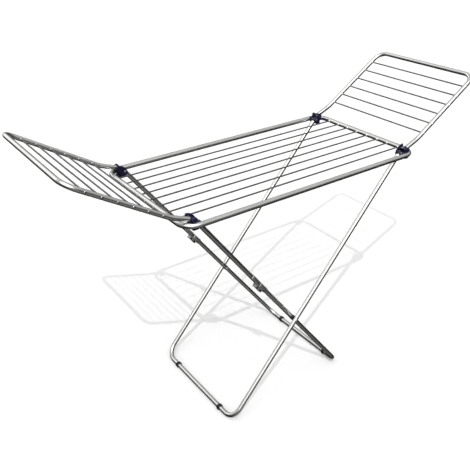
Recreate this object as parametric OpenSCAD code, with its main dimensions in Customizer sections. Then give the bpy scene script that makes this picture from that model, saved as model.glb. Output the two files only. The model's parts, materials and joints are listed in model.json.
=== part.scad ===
// Winged clothes drying rack: a wire-strung main frame on two crossed leg
// frames, with a folding wing at each end. Units are millimetres.
// X runs along the rack, Y across it, and Z is up from the floor.
// "Near" is the -Y side and "far" is the +Y side.

/* [Main frame] */
// Distance between the centre lines of the two long rails
rail_spacing = 530; // [520:1:540]
// Distance between the centre lines of the two end bars
frame_length = 958; // [950:1:966]
// Height of the rails' centre line above the floor
rail_height = 853.5; // [845:0.5:860]
// Outer diameter of the main frame tube
frame_tube_d = 18; // [17.6:0.1:18.4]
// Corner radius of the main frame, to the tube's centre line
frame_corner_r = 50; // [46:1:54]
// Wall of every steel tube
tube_wall = 1; // [0.8:0.1:1.2]
// Number of long wires in the main frame
main_wire_count = 8; // [8:1:8]
// Distance between neighbouring long wires
main_wire_pitch = 54; // [52:0.5:55]
// Diameter of every drying wire
wire_d = 5; // [4.6:0.1:5.2]

/* [Wings] */
// Distance from the centre line to a wing's side tube
wing_half_width = 243; // [242.5:0.1:243.5]
// Outer diameter of the wing and leg tubes
tube_d = 16; // [15.6:0.1:16]
// Distance of the side tubes' bend from the middle of the rack
wing_bend_x = 513.5; // [511:0.1:516]
// Height of the side tubes' bend above the rails
wing_bend_z = 39.5; // [38.5:0.5:41]
// Slope of a wing past the bend, in degrees
wing_slope = 32.3; // [31:0.1:34]
// Distance from the bend to the end tube's centre line
wing_reach = 340; // [335:1:345]
// Corner radius of a wing, to the tube's centre line
wing_corner_r = 42; // [38:1:46]
// Radius of the side tubes' bend, to the centre line
wing_bend_r = 110; // [90:5:120]
// Number of cross wires in each wing
wing_wire_count = 6; // [6:1:6]
// Distance from the bend to the first cross wire
wing_wire_start = 30; // [28:1:34]
// Distance between neighbouring cross wires
wing_wire_pitch = 50; // [48:0.5:51]

/* [Legs] */
// Distance of the outer leg's foot bar from the middle of the rack
outer_foot_x = 333; // [325:1:340]
// Distance of the inner leg's foot bar from the middle of the rack
inner_foot_x = 186; // [180:1:192]
// Distance from the centre line to the side tube of the outer leg
leg_half_width = 236; // [235.5:0.1:236.5]
// Distance from the centre line to the inner leg's side tube
inner_half_width = 214; // [213.5:0.1:214.5]
// Corner radius of the leg frames, to the tube's centre line
leg_corner_r = 48; // [44:1:52]
// Distance from the centre line to the outer leg's foot rings
outer_ring_y = 150; // [140:1:160]
// Distance from the centre line to the inner leg's foot rings
inner_ring_y = 141; // [130:1:150]
// Length of a foot ring along the bar
ring_length = 12; // [8:1:16]
// Outer radius of a foot ring
ring_r = 11.5; // [11.3:0.1:12]
// Height of the foot bars' centre line above the floor
foot_z = 11; // [10.6:0.1:11]

/* [Hinges] */
// Distance of the leg pins from the middle of the rack
leg_pin_x = 431; // [430:0.5:432]
// Height of the leg pins above the rails
leg_pin_z = 3; // [2.5:0.1:3.5]
// Distance of the wing pins from the middle of the rack
wing_pin_x = 446; // [445.5:0.1:446.5]
// Height of the wing pins above the rails
wing_pin_z = 16; // [15.8:0.1:16.5]
// Height of the wing pin above its tube's centre line, square to the tube
wing_pin_drop = 3; // [2.8:0.1:3.2]
// Radius of every hinge pin
pin_r = 3; // [2.8:0.1:3]
// Distance from the inner leg's centre line to the knee pin
knee_offset = 13; // [12.8:0.1:13.2]
// Slope of the outer leg when it is folded, in degrees
folded_slope = 2.6; // [2.4:0.1:3]

/* [Hidden] */
$fn = 64;
running_gap = 0.05;             // radial clearance of a tube on its pin
end_reach = 5;                  // how far tube ends reach past their hinge pins
bend_lip = 0.05;                // extra wall of a bend where straights join it
bend_lap = 0.5;                 // how far a straight runs into such a bend
weld_gap = 0.02;                // radial clearance of a wire in its hole
wire_proud = 0.8;               // how far wire ends stand out of the tubes
half_rail = rail_spacing / 2;
half_length = frame_length / 2;
tube_r = tube_d / 2;
frame_r = frame_tube_d / 2;

// Leg geometry in the side view, from each leg's pin to its foot bar
leg_drop = rail_height + leg_pin_z - foot_z;
outer_leg_run = leg_pin_x + outer_foot_x;
inner_leg_run = leg_pin_x + inner_foot_x;
outer_leg_length = norm([outer_leg_run, leg_drop]);
inner_leg_length = norm([inner_leg_run, leg_drop]);
outer_leg_slope = atan2(leg_drop, outer_leg_run);
inner_leg_slope = atan2(leg_drop, inner_leg_run);

// The two leg lines cross at the same share of both legs
cross_share = 2 * leg_pin_x / (outer_leg_run + inner_leg_run);
outer_to_cross = cross_share * outer_leg_length;
inner_to_cross = cross_share * inner_leg_length;

// The knee sits where the linkage closes when the upper link lies level
// and the outer leg lies at folded_slope
fold_run = 2 * leg_pin_x - outer_to_cross * cos(folded_slope);
fold_drop = outer_to_cross * sin(folded_slope) - knee_offset;
knee_at = (pow(inner_to_cross, 2) + pow(knee_offset, 2) - pow(fold_run, 2)
           - pow(fold_drop, 2)) / (2 * (inner_to_cross - fold_run));

// Upper link: it slants in from the wings' width to the inner leg's width
link_slant = atan2(leg_half_width - inner_half_width, knee_at);
knee_gap = 0.7;                 // from the knee to either tube's end
link_length = norm([leg_half_width - inner_half_width, knee_at]) - knee_gap;

// Knee clips, along the leg and below its centre line
clip_wall = 1.6;
clip_length = 48;
clip_r = tube_r + 0.03;
clip_half = clip_r + clip_wall; // half a clip's width
clip_skirt = 5;                 // how far its sides reach past the tube's axis
ear_r = 5;                      // ear round the knee pin
knuckle_r = 4.5;
knuckle_half = 7.3;             // half the knuckle's width between the ears
knuckle_start = 7.5;            // where its block and clip start
knuckle_block = 22;             // length of its block
knee_rivet_at = 21;             // from the knee pin to the knuckle's rivet
head_r = 4;
head_h = 1.5;

// Wing side tubes: the stretch from the pin to the bend
wing_first_run = wing_bend_x - wing_pin_x;
wing_first_rise = wing_bend_z - wing_pin_z;
wing_pin_to_bend = norm([wing_first_run, wing_first_rise]);
wing_first_slope = atan2(wing_first_rise, wing_first_run)
                   + asin(wing_pin_drop / wing_pin_to_bend);
wing_first_length = sqrt(pow(wing_pin_to_bend, 2) - pow(wing_pin_drop, 2));
wing_bend_angle = wing_slope - wing_first_slope;
wing_bend_trim = wing_bend_r * tan(wing_bend_angle / 2);

// Hinge block: an elbow-shaped channel centred below the two pins
block_centre_x = 457;
block_centre_z = -7.4;
block_outer_r = 35.6;
block_inner_r = 9;
block_wall_top = 10;            // height of its outer wall above the rails
block_boss_r = 7;               // boss of the outer wall round the wing pin
channel_in = leg_half_width - tube_r - 1;   // the channel's inner face
channel_out = wing_half_width + tube_r + 1; // the channel's outer face
cheek_y = channel_in - 4;       // the block's inner face
saddle_y = half_rail - 4;       // how far the block reaches over the rail
stop_gap = 0.3;                 // from the block's web to a tube at rest
turn_gap = 0.4;                 // room for the tube ends to turn

MAIN_WIRES = [for (i = [1:main_wire_count]) str("main_wire_", i)];
LEFT_WIRES = [for (i = [1:wing_wire_count]) str("left_wing_wire_", i)];
RIGHT_WIRES = [for (i = [1:wing_wire_count]) str("right_wing_wire_", i)];

// ---------------------------------------------------------------- helpers

// Hollow straight tube from the origin along +X
module tube_x(length, d) {
    rotate([0, 90, 0]) difference() {
        cylinder(d = d, h = length);
        translate([0, 0, -1]) cylinder(d = d - 2 * tube_wall, h = length + 2);
    }
}

// Hollow bend about the Z axis, from +X towards +Y; lip thickens its wall a
// little so that straight tubes can end inside it
module tube_bend(radius, d, angle, lip = 0) {
    rotate_extrude(angle = angle) translate([radius, 0]) difference() {
        circle(d = d + 2 * lip);
        circle(d = d - 2 * (tube_wall + lip));
    }
}

// Cylinder along Y, centred on the origin
module bar_y(r, length) {
    rotate([90, 0, 0]) cylinder(r = r, h = length, center = true);
}

// U-shaped tube in the XY plane: two side tubes from x = start to the end bar
module u_tube(start, reach, half_width, d, corner_r) {
    for (side = [-1, 1]) {
        translate([reach - corner_r, side * half_width, 0]) rotate([0, 0, 180])
            tube_x(reach - corner_r - start, d);
        translate([reach - corner_r, side * (half_width - corner_r), 0])
            rotate([0, 0, side > 0 ? 0 : -90]) tube_bend(corner_r, d, 90);
    }
    translate([reach, -half_width + corner_r, 0]) rotate([0, 0, 90])
        tube_x(2 * (half_width - corner_r), d);
}

// Places children at a pin (x, z above the rails), with +X turned down by slope
module from_pin(x, z, slope) {
    translate([x, 0, rail_height + z]) rotate([0, slope, 0]) children();
}

// Places children in the outer leg's own frame: +X from its pins to its foot
module on_outer_leg() {
    from_pin(leg_pin_x, leg_pin_z, 180 - outer_leg_slope) children();
}

// Places children in the inner leg's own frame: +X from its pins to its foot,
// and -Z on the side that the knee folds towards
module on_inner_leg() {
    from_pin(-leg_pin_x, leg_pin_z, inner_leg_slope) children();
}

// Repeats children on the near and the far side, mirrored across the rack
module both_sides() {
    children();
    mirror([0, 1, 0]) children();
}

// Places children at the right-hand end or mirrors them to the left-hand end
module at_end(side) {
    if (side > 0) children();
    else mirror([1, 0, 0]) children();
}

// ------------------------------------------------------------- main frame

module main_frame_tube() {
    straight_x = frame_length - 2 * frame_corner_r;
    straight_y = rail_spacing - 2 * frame_corner_r;
    color([0.62, 0.63, 0.64]) translate([0, 0, rail_height]) difference() {
        union() {
            for (side = [-1, 1]) {
                translate([-straight_x / 2, side * half_rail, 0])
                    tube_x(straight_x, frame_tube_d);
                translate([side * half_length, -straight_y / 2, 0])
                    rotate([0, 0, 90]) tube_x(straight_y, frame_tube_d);
            }
            for (corner = [0:3])
                translate([(corner == 0 || corner == 3 ? 1 : -1) * straight_x / 2,
                           (corner < 2 ? 1 : -1) * straight_y / 2, 0])
                    rotate([0, 0, 90 * corner])
                        tube_bend(frame_corner_r, frame_tube_d, 90);
        }
        for (i = [1:main_wire_count]) translate([0, main_wire_y(i), 0])
            rotate([0, 90, 0])
                cylinder(d = wire_d + 2 * weld_gap, h = 2 * frame_length, center = true);
    }
}

function main_wire_y(i) = (i - (main_wire_count + 1) / 2) * main_wire_pitch;

module main_wire(i) {
    length = frame_length + frame_tube_d + 2 * wire_proud;
    color([0.45, 0.46, 0.47]) translate([0, main_wire_y(i), rail_height])
        rotate([0, 90, 0]) cylinder(d = wire_d, h = length, center = true);
}

// Side view of a hinge block, right-hand end, about the rail's centre line
module block_outline() {
    difference() {
        translate([block_centre_x, block_centre_z]) difference() {
            circle(r = block_outer_r);
            circle(r = block_inner_r);
        }
        // leg exit, square to the leg
        translate([leg_pin_x, leg_pin_z]) rotate(180 + outer_leg_slope)
            translate([11, -60]) square([80, 120]);
        // everything past the wing's and the leg's reach
        translate([block_centre_x, block_centre_z - 80]) square([80, 160]);
        translate([block_centre_x - 60, block_centre_z - 90]) square([120, 82]);
    }
}

// The web that closes the elbow's inner curve and stops wing and leg
module web_outline() {
    difference() {
        block_outline();
        translate([wing_pin_x, wing_pin_z]) rotate(wing_first_slope)
            translate([-80, -wing_pin_drop - tube_r - stop_gap]) square([160, 100]);
        translate([leg_pin_x, leg_pin_z]) rotate(180 + inner_leg_slope)
            translate([-80, -100]) square([160, 100 + tube_r + stop_gap]);
        translate([leg_pin_x, leg_pin_z])
            circle(r = norm([end_reach, tube_r]) + turn_gap);
        translate([wing_pin_x, wing_pin_z])
            circle(r = norm([end_reach, tube_r + wing_pin_drop]) + turn_gap);
    }
}

// The low outer wall, with a boss that holds the wing pin
module wall_outline() {
    intersection() {
        block_outline();
        union() {
            translate([block_centre_x - 60, -60]) square([120, 60 + block_wall_top]);
            translate([wing_pin_x, wing_pin_z]) circle(r = block_boss_r);
            translate([wing_pin_x - block_boss_r, 0])
                square([2 * block_boss_r, wing_pin_z]);
        }
    }
}

// Plate across the rack from y = from to y = to, from a side view outline
module plate(from, to) {
    translate([0, to, 0]) rotate([90, 0, 0]) linear_extrude(to - from) children();
}

// Cylinder along +Y from a point in the side view
module pin_y(x, y, z, r, length) {
    translate([x, y, z]) rotate([-90, 0, 0]) cylinder(r = r, h = length);
}

module hinge_block(end_side, y_side) {
    color([0.10, 0.09, 0.25]) at_end(end_side) scale([1, y_side, 1])
        translate([0, 0, rail_height]) difference() {
            union() {
                plate(cheek_y, channel_in) block_outline();
                plate(channel_out, saddle_y) wall_outline();
                plate(cheek_y, saddle_y) web_outline();
            }
            // seat on the rail and on its corner bend
            translate([0, half_rail, 0]) rotate([0, 90, 0])
                cylinder(d = frame_tube_d + 0.1, h = half_length - frame_corner_r + 2);
            translate([half_length - frame_corner_r, half_rail - frame_corner_r, 0])
                rotate_extrude(angle = 90) translate([frame_corner_r, 0])
                    circle(d = frame_tube_d + 0.4);
            pin_y(leg_pin_x, cheek_y - 1, leg_pin_z, pin_r + weld_gap,
                  channel_out - cheek_y + 4);
            pin_y(wing_pin_x, cheek_y + 1.5, wing_pin_z, pin_r + weld_gap,
                  channel_out - cheek_y + 1.5);
        }
}

module hinge_block_left_near() { hinge_block(-1, -1); }
module hinge_block_left_far() { hinge_block(-1, 1); }
module hinge_block_right_near() { hinge_block(1, -1); }
module hinge_block_right_far() { hinge_block(1, 1); }

// Rivets that the legs turn on, with a head on the blocks' inner faces
module leg_hinge_pins() {
    color([0.75, 0.75, 0.78]) for (end_side = [-1, 1]) at_end(end_side) both_sides()
        translate([0, 0, rail_height]) {
            pin_y(leg_pin_x, cheek_y, leg_pin_z, pin_r, channel_out - cheek_y + 2.5);
            pin_y(leg_pin_x, cheek_y - 1.2, leg_pin_z, pin_r + 1, 1.2);
        }
}

// Pins that the wings turn on, hidden inside the blocks
module wing_hinge_pins() {
    color([0.75, 0.75, 0.78]) for (end_side = [-1, 1]) at_end(end_side) both_sides()
        translate([0, 0, rail_height])
            pin_y(wing_pin_x, cheek_y + 1.6, wing_pin_z, pin_r, channel_out - cheek_y + 1);
}

// ------------------------------------------------------------------ wings

// Distance of cross wire i from the bend, along the wing
function wing_wire_s(i) = wing_wire_start + (i - 1) * wing_wire_pitch;

// Places children in a wing's main plane, +X outwards from the bend
module on_wing(side) {
    at_end(side) from_pin(wing_bend_x, wing_bend_z, -wing_slope) children();
}

module wing_tube(side) {
    color([0.62, 0.63, 0.64]) difference() {
        union() {
            on_wing(side) u_tube(wing_bend_trim - bend_lap, wing_reach,
                                 wing_half_width, tube_d, wing_corner_r);
            at_end(side) both_sides() translate([0, wing_half_width, 0])
                from_pin(wing_pin_x, wing_pin_z, -wing_first_slope) {
                    first = wing_first_length - wing_bend_trim;
                    translate([-end_reach, 0, -wing_pin_drop])
                        tube_x(end_reach + first + bend_lap, tube_d);
                    translate([first, 0, wing_bend_r - wing_pin_drop])
                        rotate([-90, 0, 0]) rotate([0, 0, 90 - wing_bend_angle])
                            tube_bend(wing_bend_r, tube_d, wing_bend_angle, bend_lip);
                }
        }
        at_end(side) translate([wing_pin_x, 0, rail_height + wing_pin_z])
            bar_y(pin_r + running_gap, 3 * wing_half_width);
        for (i = [1:wing_wire_count]) on_wing(side)
            translate([wing_wire_s(i), 0, 0])
                bar_y(wire_d / 2 + weld_gap, 3 * wing_half_width);
    }
}

module wing_wire(side, i) {
    length = 2 * wing_half_width + tube_d + 2 * wire_proud;
    color([0.45, 0.46, 0.47]) on_wing(side) translate([wing_wire_s(i), 0, 0])
        bar_y(wire_d / 2, length);
}

module left_wing_tube() { wing_tube(-1); }
module right_wing_tube() { wing_tube(1); }

// -------------------------------------------------------------- outer leg

module outer_leg_frame() {
    color([0.62, 0.63, 0.64]) on_outer_leg() difference() {
        u_tube(-end_reach, outer_leg_length, leg_half_width, tube_d, leg_corner_r);
        bar_y(pin_r + running_gap, 3 * leg_half_width);
        translate([outer_to_cross, 0, 0]) bar_y(pin_r + weld_gap, 3 * leg_half_width);
    }
}

// Plastic ring round a foot bar, with a flat underside on the floor
module foot_ring(x, y) {
    color([0.05, 0.05, 0.07]) translate([x, y, foot_z]) difference() {
        bar_y(ring_r, ring_length);
        bar_y(tube_r + weld_gap, 2 * ring_length);
        translate([-ring_r, -ring_length, -foot_z - ring_r])
            cube([2 * ring_r, 2 * ring_length, ring_r]);
    }
}

module outer_foot_ring_near() { foot_ring(-outer_foot_x, -outer_ring_y); }
module outer_foot_ring_far() { foot_ring(-outer_foot_x, outer_ring_y); }
module inner_foot_ring_near() { foot_ring(inner_foot_x, -inner_ring_y); }
module inner_foot_ring_far() { foot_ring(inner_foot_x, inner_ring_y); }

// Half of the crossing pivot that stays with the outer leg
module outer_crossing_rivets() {
    color([0.6, 0.6, 0.62]) on_outer_leg() both_sides()
        translate([outer_to_cross, leg_half_width - tube_r, 0]) rotate([-90, 0, 0]) {
            cylinder(r = pin_r, h = tube_d + 0.5);
            translate([0, 0, tube_d + weld_gap]) cylinder(r = head_r + 1, h = head_h);
        }
}

// -------------------------------------------------------------- inner leg

// Places children in an upper link's own frame, +X along its tube
module on_link(side) {
    scale([1, side, 1]) on_inner_leg() translate([0, leg_half_width, 0])
        rotate([0, 0, -link_slant]) children();
}

// Upper half of the inner leg: one straight tube that slants in to the knee
module inner_leg_link(side) {
    color([0.62, 0.63, 0.64]) difference() {
        on_link(side) translate([-end_reach, 0, 0])
            tube_x(end_reach + link_length, tube_d);
        on_inner_leg() bar_y(pin_r + running_gap, 3 * leg_half_width);
    }
}

module inner_leg_link_near() { inner_leg_link(-1); }
module inner_leg_link_far() { inner_leg_link(1); }

// Places children at the knee: +X along the leg, +Y across, +Z below the leg
module at_knee(side) {
    scale([1, side, 1]) on_inner_leg() translate([knee_at, inner_half_width, 0])
        mirror([0, 0, 1]) children();
}

// Sheet-steel clip over a tube along +X, open towards +Z
module clip_over(length, depth) {
    rotate([0, 90, 0]) rotate([0, 0, 180]) linear_extrude(length) difference() {
        union() {
            circle(r = clip_half);
            translate([0, -clip_half]) square([depth, 2 * clip_half]);
        }
        circle(r = clip_r);
        translate([0, -clip_r]) square([depth + 1, 2 * clip_r]);
    }
}

// Clip on the upper link, with two ears that hold the knee pin
module knee_clip(side) {
    color([0.5, 0.51, 0.52]) difference() {
        on_link(side) translate([link_length + knee_gap, 0, 0]) mirror([0, 0, 1])
            intersection() {
                translate([-clip_length, 0, 0])
                    clip_over(clip_length + ear_r, knee_offset + ear_r);
                plate(-clip_half - 1, clip_half + 1) {
                    polygon([[-clip_length, -2 * clip_half], [-1, -2 * clip_half],
                             [-1, 4], [ear_r, knee_offset], [-ear_r, knee_offset],
                             [-7, clip_skirt + 2], [-clip_length, clip_skirt]]);
                    translate([0, knee_offset]) circle(r = ear_r);
                }
            }
        at_knee(side) translate([0, 0, knee_offset])
            bar_y(pin_r + weld_gap, 4 * clip_half);
    }
}

module knee_clip_near() { knee_clip(-1); }
module knee_clip_far() { knee_clip(1); }

module knee_pins() {
    length = 2 * clip_half + 1;
    color([0.08, 0.08, 0.09]) for (side = [-1, 1]) at_knee(side)
        translate([0, 0, knee_offset]) {
            bar_y(pin_r, length);
            for (end = [-1, 1]) translate([0, end * (length + head_h) / 2, 0])
                bar_y(head_r, head_h);
        }
}

// Lower half of the inner leg, from the knee to the foot bar
module inner_leg_frame() {
    color([0.62, 0.63, 0.64]) on_inner_leg() difference() {
        u_tube(knee_at + knee_gap, inner_leg_length, inner_half_width, tube_d, leg_corner_r);
        translate([inner_to_cross, 0, 0]) bar_y(pin_r + weld_gap, 3 * inner_half_width);
    }
}

// Clip on the lower tube, with a knuckle that turns between the upper ears
module knee_knuckle(side) {
    color([0.5, 0.51, 0.52]) at_knee(side) difference() {
        union() {
            translate([knuckle_start, 0, 0])
                clip_over(clip_length - knuckle_start, clip_skirt);
            difference() {
                plate(0.2 - clip_half, clip_half - 0.2) translate([knuckle_start + 0.5, clip_skirt - 1])
                    square([knuckle_block, knee_offset + knuckle_r - clip_skirt + 1]);
                rotate([0, 90, 0]) cylinder(r = clip_r + 0.3, h = clip_length);
            }
            plate(-knuckle_half, knuckle_half) {
                translate([0, knee_offset]) circle(r = knuckle_r);
                translate([0, knee_offset - knuckle_r + 0.5])
                    square([knuckle_start + 2, 2 * knuckle_r - 1]);
            }
        }
        translate([0, 0, knee_offset]) bar_y(pin_r + running_gap, 4 * clip_half);
        translate([knee_rivet_at, 0, knee_offset])
            bar_y(pin_r + weld_gap, 4 * clip_half);
    }
}

module knee_knuckle_near() { knee_knuckle(-1); }
module knee_knuckle_far() { knee_knuckle(1); }

module knee_rivets() {
    color([0.08, 0.08, 0.09]) for (side = [-1, 1]) at_knee(side)
        translate([knee_rivet_at, 0, knee_offset]) {
            bar_y(pin_r, 2 * clip_half);
            for (end = [-1, 1]) translate([0, end * (clip_half + head_h / 2), 0])
                bar_y(head_r - 0.5, head_h);
        }
}

// Plastic spacers between the two leg frames at the crossing
module crossing_spacers() {
    outer_face = leg_half_width - tube_r - 0.5;
    depth = outer_face - inner_half_width;
    color([0.05, 0.05, 0.07]) on_inner_leg() both_sides()
        translate([inner_to_cross, inner_half_width, 0]) difference() {
            rotate([-90, 0, 0]) cylinder(r = 9, h = depth);
            rotate([0, 90, 0]) cylinder(r = tube_r + weld_gap, h = 60, center = true);
            rotate([-90, 0, 0]) cylinder(r = pin_r + weld_gap, h = depth + 2);
        }
}

// Half of the crossing pivot that stays with the inner leg
module inner_crossing_rivets() {
    outer_face = leg_half_width - tube_r - 0.8;
    start = inner_half_width - tube_r;
    color([0.6, 0.6, 0.62]) on_inner_leg() both_sides()
        translate([inner_to_cross, start, 0]) rotate([-90, 0, 0]) {
            translate([0, 0, -weld_gap]) cylinder(r = pin_r, h = outer_face - start);
            translate([0, 0, -head_h - weld_gap]) cylinder(r = head_r + 1, h = head_h);
        }
}

// ---------------------------------------------------------------- drawing

main_frame_tube();
for (i = [1:main_wire_count])
    main_wire(i);
hinge_block_left_near();
hinge_block_left_far();
hinge_block_right_near();
hinge_block_right_far();
leg_hinge_pins();
wing_hinge_pins();
left_wing_tube();
right_wing_tube();
for (i = [1:wing_wire_count]) {
    wing_wire(-1, i);
    wing_wire(1, i);
}
outer_leg_frame();
outer_foot_ring_near();
outer_foot_ring_far();
outer_crossing_rivets();
inner_leg_link_near();
inner_leg_link_far();
knee_clip_near();
knee_clip_far();
knee_pins();
inner_leg_frame();
inner_foot_ring_near();
inner_foot_ring_far();
knee_knuckle_near();
knee_knuckle_far();
knee_rivets();
crossing_spacers();
inner_crossing_rivets();
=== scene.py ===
import bpy
import bmesh
import json
import math
from mathutils import Matrix, Vector


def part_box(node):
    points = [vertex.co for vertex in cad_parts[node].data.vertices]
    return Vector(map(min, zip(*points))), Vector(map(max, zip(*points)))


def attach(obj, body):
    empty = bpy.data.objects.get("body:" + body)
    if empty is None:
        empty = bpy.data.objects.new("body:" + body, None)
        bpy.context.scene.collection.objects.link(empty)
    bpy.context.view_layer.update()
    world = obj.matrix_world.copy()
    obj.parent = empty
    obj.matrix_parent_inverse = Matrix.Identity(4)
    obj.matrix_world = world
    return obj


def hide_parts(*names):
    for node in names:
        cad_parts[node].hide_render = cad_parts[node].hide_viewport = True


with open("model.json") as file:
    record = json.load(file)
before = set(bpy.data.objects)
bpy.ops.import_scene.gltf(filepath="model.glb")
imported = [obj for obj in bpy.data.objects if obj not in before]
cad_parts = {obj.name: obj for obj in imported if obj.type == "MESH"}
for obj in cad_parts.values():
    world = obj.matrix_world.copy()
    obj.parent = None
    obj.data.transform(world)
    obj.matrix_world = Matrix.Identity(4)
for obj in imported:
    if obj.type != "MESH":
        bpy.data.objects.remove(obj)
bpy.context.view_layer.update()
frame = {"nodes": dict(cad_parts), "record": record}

nodes = frame["nodes"]
record = frame["record"]


# ------------------------------------------------------------- materials

def new_material(name):
    """An empty node material with its output and Principled shader."""
    mat = bpy.data.materials.new(name)
    mat.use_nodes = True
    tree = mat.node_tree
    tree.nodes.clear()
    out = tree.nodes.new("ShaderNodeOutputMaterial")
    shader = tree.nodes.new("ShaderNodeBsdfPrincipled")
    tree.links.new(shader.outputs["BSDF"], out.inputs["Surface"])
    return mat, tree, shader


def noise(tree, scale, detail, stretch=(1, 1, 1)):
    """A noise texture in the object's own metres."""
    tc = tree.nodes.new("ShaderNodeTexCoord")
    mp = tree.nodes.new("ShaderNodeMapping")
    mp.inputs["Scale"].default_value = stretch
    nt = tree.nodes.new("ShaderNodeTexNoise")
    nt.inputs["Scale"].default_value = scale
    nt.inputs["Detail"].default_value = detail
    tree.links.new(tc.outputs["Object"], mp.inputs["Vector"])
    tree.links.new(mp.outputs["Vector"], nt.inputs["Vector"])
    return nt.outputs["Fac"]


def ramp(tree, fac, stops):
    """A colour ramp over a factor; stops are (position, (r, g, b))."""
    cr = tree.nodes.new("ShaderNodeValToRGB")
    while len(cr.color_ramp.elements) < len(stops):
        cr.color_ramp.elements.new(0.5)
    for el, (pos, rgb) in zip(cr.color_ramp.elements, stops):
        el.position = pos
        el.color = (*rgb, 1.0)
    tree.links.new(fac, cr.inputs["Fac"])
    return cr.outputs["Color"]


def remap(tree, fac, low, high, start=0.0):
    """Scales a factor from start to 1 to low to high."""
    mr = tree.nodes.new("ShaderNodeMapRange")
    mr.inputs["From Min"].default_value = start
    mr.inputs["To Min"].default_value = low
    mr.inputs["To Max"].default_value = high
    tree.links.new(fac, mr.inputs["Value"])
    return mr.outputs["Result"]


def bump(tree, shader, fac, strength, distance):
    """Raises the surface a little by a factor; distance is in metres."""
    bp = tree.nodes.new("ShaderNodeBump")
    bp.inputs["Strength"].default_value = strength
    bp.inputs["Distance"].default_value = distance
    tree.links.new(fac, bp.inputs["Height"])
    tree.links.new(bp.outputs["Normal"], shader.inputs["Normal"])


def scaled(rgb, k):
    """A colour made k times as bright."""
    return tuple(c * k for c in rgb)


def coated_steel(name, rgb, metallic, rough_low, rough_high):
    """Silver-grey coating on tube or wire: faint tone drift and orange peel."""
    mat, tree, shader = new_material(name)
    drift = noise(tree, 9.0, 3.0)
    tones = [(0.3, scaled(rgb, 0.94)), (0.7, scaled(rgb, 1.05))]
    tree.links.new(ramp(tree, drift, tones), shader.inputs["Base Color"])
    smudge = noise(tree, 60.0, 4.0)
    tree.links.new(remap(tree, smudge, rough_low, rough_high), shader.inputs["Roughness"])
    shader.inputs["Metallic"].default_value = metallic
    shader.inputs["Coat Weight"].default_value = 0.25
    shader.inputs["Coat Roughness"].default_value = 0.12
    bump(tree, shader, noise(tree, 900.0, 2.0), 0.03, 0.0001)
    return mat


def moulded_plastic(name, rgb, rough_low, rough_high, grain):
    """Moulded plastic with a fine spark-eroded grain and paler scuffs."""
    mat, tree, shader = new_material(name)
    patch = noise(tree, 120.0, 5.0)
    pale = tuple(min(1.0, c * 1.4 + 0.002) for c in rgb)
    tones = [(0.35, scaled(rgb, 0.85)), (0.55, rgb), (0.78, pale)]
    tree.links.new(ramp(tree, patch, tones), shader.inputs["Base Color"])
    tree.links.new(remap(tree, noise(tree, 300.0, 3.0), rough_low, rough_high),
                   shader.inputs["Roughness"])
    shader.inputs["Specular IOR Level"].default_value = 0.35
    bump(tree, shader, noise(tree, 2500.0, 3.0), grain, 0.00015)
    return mat


def plain_steel(name, rgb, metallic, rough_low, rough_high):
    """Bare or dark steel of rivets and pins, with fine turning marks."""
    mat, tree, shader = new_material(name)
    marks = noise(tree, 500.0, 4.0, stretch=(1, 0.1, 1))
    tones = [(0.3, scaled(rgb, 0.8)), (0.7, scaled(rgb, 1.15))]
    tree.links.new(ramp(tree, marks, tones), shader.inputs["Base Color"])
    tree.links.new(remap(tree, noise(tree, 700.0, 3.0), rough_low, rough_high),
                   shader.inputs["Roughness"])
    shader.inputs["Metallic"].default_value = metallic
    bump(tree, shader, marks, 0.1, 0.0001)
    return mat


MATERIALS = {
    "tubes": coated_steel("coated_tube", (0.66, 0.655, 0.64), 0.97, 0.22, 0.28),
    "wires": coated_steel("coated_wire", (0.105, 0.105, 0.105), 0.8, 0.3, 0.42),
    "hinge_blocks": moulded_plastic("navy_plastic", (0.0045, 0.0035, 0.026), 0.45, 0.6, 0.2),
    "foot_rings": moulded_plastic("black_plastic", (0.006, 0.006, 0.007), 0.4, 0.55, 0.3),
    "crossing_spacers": moulded_plastic("black_spacer", (0.006, 0.006, 0.007), 0.4, 0.55, 0.3),
    "knee_brackets": coated_steel("coated_bracket", (0.50, 0.50, 0.49), 0.9, 0.26, 0.36),
    "knee_rivets": plain_steel("dark_rivet", (0.02, 0.02, 0.022), 0.5, 0.35, 0.5),
    "rivets": plain_steel("bright_rivet", (0.80, 0.80, 0.82), 1.0, 0.2, 0.35),
}

slot_of = {s["node"]: s["material_slot"] for s in record["subparts"]}
for name, obj in nodes.items():
    if not obj.material_slots:
        obj.data.materials.append(None)
    for material_slot in obj.material_slots:
        material_slot.material = MATERIALS[slot_of[name]]


# ---------------------------------------------------------- detailed pieces

SMOOTH_BELOW = math.radians(40.0)    # sharper edges than this stay sharp
BEVEL_ABOVE = math.radians(35.0)     # sharper edges than this are rounded
SAME_POINT = 2e-6                    # metres
FLAT_BELOW = math.radians(0.6)       # faces flatter than this are merged

body_of_node = {n: b for b, ns in record["behaviour"]["bodies"].items() for n in ns}


def add_piece(bm, name, body, slot, replaced=()):
    """Turns a bmesh into a piece of the rack that rides on a CAD body."""
    mesh = bpy.data.meshes.new(name)
    bmesh.ops.recalc_face_normals(bm, faces=bm.faces)
    bm.to_mesh(mesh)
    bm.free()
    mesh.shade_smooth()
    mesh.set_sharp_from_angle(angle=SMOOTH_BELOW)
    obj = bpy.data.objects.new(name, mesh)
    bpy.context.collection.objects.link(obj)
    mesh.materials.append(MATERIALS[slot])
    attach(obj, body)
    if replaced:
        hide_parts(*replaced)
    return obj


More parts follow.
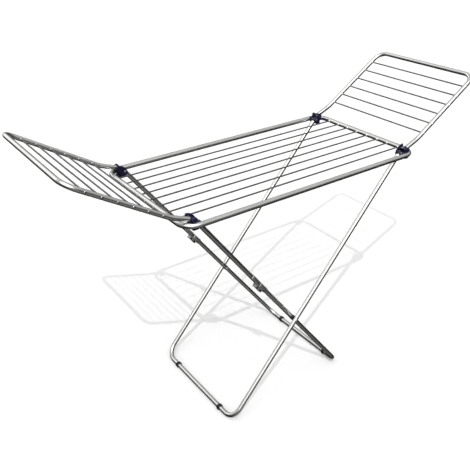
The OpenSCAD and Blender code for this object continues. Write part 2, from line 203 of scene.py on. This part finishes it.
def softened(node, width, segments):
    """The CAD node's shape with its sharp edges rounded by bevels."""
    bm = bmesh.new()
    bm.from_mesh(nodes[node].data)
    bmesh.ops.remove_doubles(bm, verts=bm.verts, dist=SAME_POINT)
    bmesh.ops.dissolve_limit(bm, angle_limit=FLAT_BELOW, verts=bm.verts, edges=bm.edges)
    sharp = [e for e in bm.edges
             if e.is_manifold and e.calc_face_angle(0.0) > BEVEL_ABOVE]
    bmesh.ops.bevel(bm, geom=sharp, offset=width, offset_type="OFFSET",
                    segments=segments, profile=0.5, affect="EDGES", clamp_overlap=True)
    add_piece(bm, node + "_rounded", body_of_node[node], slot_of[node], (node,))


# Width in metres and number of segments of the bevels, by material slot
BEVELS = {
    "hinge_blocks": (0.0011, 3),
    "foot_rings": (0.0012, 4),
    "knee_brackets": (0.0004, 2),
    "knee_rivets": (0.0011, 4),
    "rivets": (0.0011, 4),
}
for node in nodes:
    if slot_of[node] in BEVELS:
        softened(node, *BEVELS[slot_of[node]])


def lathe(bm, origin, axis, profile, steps=20):
    """Adds a closed turned solid: profile is (along, radius) from end to end."""
    axis = Vector(axis).normalized()
    side = axis.orthogonal().normalized()
    other = axis.cross(side)
    rings = []
    for along, radius in profile:
        centre = origin + axis * along
        turns = [2 * math.pi * k / steps for k in range(steps)]
        rings.append([bm.verts.new(centre + radius * (side * math.cos(t) + other * math.sin(t)))
                      for t in turns])
    for r0, r1 in zip(rings, rings[1:]):
        for k in range(steps):
            bm.faces.new((r0[k], r0[(k + 1) % steps], r1[(k + 1) % steps], r1[k]))
    bm.faces.new(rings[0][::-1])
    bm.faces.new(rings[-1])


WIRE_PROUD = 0.0008     # how far wire ends stand out of the tubes
FRAME_TUBE_R = 0.009
TUBE_R = 0.008          # of wings and legs
# Welds in (along the wire, radius past the wire's own), from the tube's face
OUTER_WELD = ((-0.0006, 0.0016), (0.0002, 0.0012), (0.0006, 0.0004), (0.00079, -0.0006))
INNER_WELD = ((-0.0007, 0.0017), (0.0004, 0.0012), (0.0013, 0.0004), (0.0022, 0.00008))


def weld_beads(name, body, wire_nodes, axis, tube_r):
    """Fillet welds where wires enter and leave the tubes at both their ends."""
    bm = bmesh.new()
    for node in wire_nodes:
        low, high = (Vector(c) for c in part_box(node))
        middle = (low + high) / 2
        half = (high - low)[axis] / 2
        wire_r = min(high[k] - low[k] for k in range(3)) / 2
        along = Vector([1.0 if k == axis else 0.0 for k in range(3)])
        for end in (-1, 1):
            outward = along * end
            face = middle + outward * (half - WIRE_PROUD)
            lathe(bm, face, outward, [(at, wire_r + past) for at, past in OUTER_WELD])
            root = face - outward * (2 * tube_r)
            lathe(bm, root, -outward, [(at, wire_r + past) for at, past in INNER_WELD])
    add_piece(bm, name, body, "tubes")


def nodes_with(prefix):
    return sorted(n for n in nodes if n.startswith(prefix))


weld_beads("main_wire_welds", "main_frame", nodes_with("main_wire_"), 0, FRAME_TUBE_R)
weld_beads("left_wing_welds", "left_wing", nodes_with("left_wing_wire_"), 1, TUBE_R)
weld_beads("right_wing_welds", "right_wing", nodes_with("right_wing_wire_"), 1, TUBE_R)


def drilled(bm, centre, radius, length):
    """The solid in bm with a round hole along Y; returns a new bmesh."""
    drill = bmesh.new()
    lathe(drill, centre - Vector((0, length / 2, 0)), (0, 1, 0),
          [(0.0, radius), (length, radius)], 32)
    objects = []
    for part in (bm, drill):
        bmesh.ops.recalc_face_normals(part, faces=part.faces)
        mesh = bpy.data.meshes.new("drilling")
        part.to_mesh(mesh)
        part.free()
        obj = bpy.data.objects.new("drilling", mesh)
        bpy.context.collection.objects.link(obj)
        objects.append(obj)
    cut = objects[0].modifiers.new("hole", "BOOLEAN")
    cut.operation = "DIFFERENCE"
    cut.solver = "EXACT"
    cut.object = objects[1]
    bpy.context.view_layer.update()
    result = bmesh.new()
    result.from_object(objects[0], bpy.context.evaluated_depsgraph_get())
    for obj in objects:
        bpy.data.objects.remove(obj)
    return result


END_REACH = 0.005       # how far tube ends reach past their pins
SLEEVE_SKIN = 0.0002
SLEEVE_LENGTH = 0.0095  # from the pin along the tube
PIN_HOLE_R = 0.0032     # clears the 6 mm pins


def end_sleeve(name, body, pin, direction, drop):
    """A thin plastic sleeve over the end of a tube inside its hinge block.

    pin is a point on the hinge's axis, direction runs along the tube away
    from its end, and drop is how far the tube's centre line lies below.
    """
    direction = Vector(direction).normalized()
    below = direction.cross(Vector((0, 1, 0)))
    if below.z > 0:
        below = -below
    outer = TUBE_R + SLEEVE_SKIN
    bm = bmesh.new()
    lathe(bm, pin + below * drop, direction,
          [(-END_REACH - SLEEVE_SKIN, TUBE_R - 0.0008),
           (-END_REACH - SLEEVE_SKIN / 2, TUBE_R - 0.0001),
           (-END_REACH + 0.0006, outer), (SLEEVE_LENGTH - 0.0005, outer),
           (SLEEVE_LENGTH, TUBE_R + 0.00002)], 40)
    add_piece(drilled(bm, pin, PIN_HOLE_R, 3 * TUBE_R), name, body, "hinge_blocks")


# Body, tube node, joint, slope in degrees (up is positive), side of the rack
# that the tube leaves towards, and how far its centre line is below the pin
TUBE_ENDS = (
    ("left_wing", "left_wing_tube", "left_wing_hinge", 21.6, -1, 0.003),
    ("right_wing", "right_wing_tube", "right_wing_hinge", 21.6, 1, 0.003),
    ("outer_leg", "outer_leg_frame", "outer_leg_hinge", -47.9, -1, 0.0),
    ("inner_leg_links", "inner_leg_link_far", "inner_leg_hinge", -53.88, 1, 0.0),
)
LINK_SLANT = 0.0547     # the links run in towards the middle, as a share of length
pins = {j["name"]: Vector(j["pos_m"]) for j in record["behaviour"]["joints"]}
for body, node, joint, slope, way, drop in TUBE_ENDS:
    half_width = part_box(node)[1][1] - TUBE_R
    slant = LINK_SLANT if body == "inner_leg_links" else 0.0
    for side, word in ((-1, "near"), (1, "far")):
        pin = pins[joint] + Vector((0, side * half_width, 0))
        along = Vector((way * math.cos(math.radians(slope)), -side * slant,
                        math.sin(math.radians(slope))))
        end_sleeve(f"{body}_sleeve_{word}", body, pin, along, drop)


# ------------------------------------------------------ floor, light, camera

floor_mat, floor_tree, floor_shader = new_material("white_floor")
floor_tree.links.new(
    ramp(floor_tree, noise(floor_tree, 0.8, 2.0),
         [(0.2, (0.71, 0.71, 0.71)), (0.8, (0.72, 0.72, 0.72))]),
    floor_shader.inputs["Base Color"])
floor_shader.inputs["Roughness"].default_value = 1.0
floor_shader.inputs["Specular IOR Level"].default_value = 0.0
bpy.ops.mesh.primitive_plane_add(size=120.0, location=(0, 0, 0))
floor = bpy.context.object
floor.name = "studio_floor"
floor.data.materials.append(floor_mat)

# White backdrop round the floor, for the low views
back_mat, back_tree, back_shader = new_material("white_backdrop")
back_shader.inputs["Base Color"].default_value = (0, 0, 0, 1)
back_shader.inputs["Specular IOR Level"].default_value = 0.0
back_tree.links.new(
    ramp(back_tree, noise(back_tree, 0.02, 1.0), [(0.2, (0.97, 0.97, 0.97)), (0.8, (1, 1, 1))]),
    back_shader.inputs["Emission Color"])
back_shader.inputs["Emission Strength"].default_value = 1.0
ring = bmesh.new()
bmesh.ops.create_circle(ring, cap_ends=False, segments=96, radius=58.0)
wall = bmesh.ops.extrude_edge_only(ring, edges=ring.edges[:])
bmesh.ops.translate(ring, vec=(0, 0, 60.0),
                    verts=[v for v in wall["geom"] if isinstance(v, bmesh.types.BMVert)])
back_mesh = bpy.data.meshes.new("studio_backdrop")
ring.to_mesh(back_mesh)
ring.free()
backdrop = bpy.data.objects.new("studio_backdrop", back_mesh)
bpy.context.collection.objects.link(backdrop)
back_mesh.materials.append(back_mat)

# The stage is only seen: the rack's metal shows the surroundings instead
for part in (floor, backdrop):
    part.visible_diffuse = False
    part.visible_glossy = False
backdrop.visible_shadow = False

KEY_FROM = Vector((-0.465, -0.68, 1.0)).normalized()

# Studio surroundings: dark below the horizon, soft white above it, and
# brightest on the side that the key light comes from
world = bpy.data.worlds.new("studio")
bpy.context.scene.world = world
world.use_nodes = True
wt = world.node_tree
wt.nodes.clear()
w_out = wt.nodes.new("ShaderNodeOutputWorld")
w_bg = wt.nodes.new("ShaderNodeBackground")
w_tc = wt.nodes.new("ShaderNodeTexCoord")
w_sep = wt.nodes.new("ShaderNodeSeparateXYZ")
wt.links.new(w_tc.outputs["Generated"], w_sep.inputs["Vector"])
sky = ramp(wt, remap(wt, w_sep.outputs["Z"], 0.0, 1.0, -1.0),
           [(pos, (v, v, v)) for pos, v in
            ((0.0, 0.02), (0.48, 0.01), (0.53, 0.17), (0.62, 0.44), (0.8, 0.66))])


def soft_box(towards, stops):
    """A round soft box: brightness over the cosine to its direction."""
    dot = wt.nodes.new("ShaderNodeVectorMath")
    dot.operation = "DOT_PRODUCT"
    dot.inputs[1].default_value = Vector(towards).normalized()
    wt.links.new(w_tc.outputs["Generated"], dot.inputs[0])
    return ramp(wt, dot.outputs["Value"], [(pos, (v, v, v)) for pos, v in stops])


box_light = soft_box(KEY_FROM, ((0.0, 0.0), (0.72, 0.0), (0.86, 1.6), (1.0, 2.2)))
back_light = soft_box((-0.30, 0.85, 0.43), ((0.0, 0.0), (0.86, 0.0), (0.97, 1.0)))
bounce = soft_box((-0.2, -0.78, -0.59), ((0.0, 0.0), (0.68, 0.0), (0.86, 0.17), (1.0, 0.2)))
total = sky
for part in (box_light, back_light, bounce):
    w_add = wt.nodes.new("ShaderNodeVectorMath")
    w_add.operation = "ADD"
    wt.links.new(total, w_add.inputs[0])
    wt.links.new(part, w_add.inputs[1])
    total = w_add.outputs["Vector"]
wt.links.new(total, w_bg.inputs["Color"])
w_bg.inputs["Strength"].default_value = 1.0
wt.links.new(w_bg.outputs["Background"], w_out.inputs["Surface"])

key = bpy.data.lights.new("key", "SUN")
key.energy = 1.2
key.angle = math.radians(0.6)
key_obj = bpy.data.objects.new("key", key)
bpy.context.collection.objects.link(key_obj)
key_obj.rotation_euler = (-KEY_FROM).to_track_quat("-Z", "Y").to_euler()

# The viewing angle: left of the rack's middle and above it, looking down
CAM_AZIMUTH = math.radians(36.29)
CAM_ELEVATION = math.radians(27.84)
CAM_ROLL = math.radians(-0.75)
CAM_DISTANCE = 2.4219
CAM_TARGET = Vector((-0.0057, 0.0042, 0.6051))
cam = bpy.data.cameras.new("camera")
cam.sensor_fit = "HORIZONTAL"
cam.sensor_width = 36.0
cam.lens = 18.0 / math.tan(math.radians(39.588) / 2)
cam.shift_x = -0.0613
cam.shift_y = -0.0231
cam.clip_end = 200.0
cam_obj = bpy.data.objects.new("camera", cam)
bpy.context.collection.objects.link(cam_obj)
look = Vector((math.sin(CAM_AZIMUTH) * math.cos(CAM_ELEVATION),
               math.cos(CAM_AZIMUTH) * math.cos(CAM_ELEVATION), -math.sin(CAM_ELEVATION)))
right = look.cross(Vector((0, 0, 1))).normalized()
up = right.cross(look)
right, up = (right * math.cos(CAM_ROLL) + up * math.sin(CAM_ROLL),
             up * math.cos(CAM_ROLL) - right * math.sin(CAM_ROLL))
cam_obj.matrix_world = Matrix((
    (right.x, up.x, -look.x, 0), (right.y, up.y, -look.y, 0),
    (right.z, up.z, -look.z, 0), (0, 0, 0, 1)))
cam_obj.location = CAM_TARGET - look * CAM_DISTANCE
bpy.context.scene.camera = cam_obj
bpy.context.scene.view_settings.view_transform = "Standard"
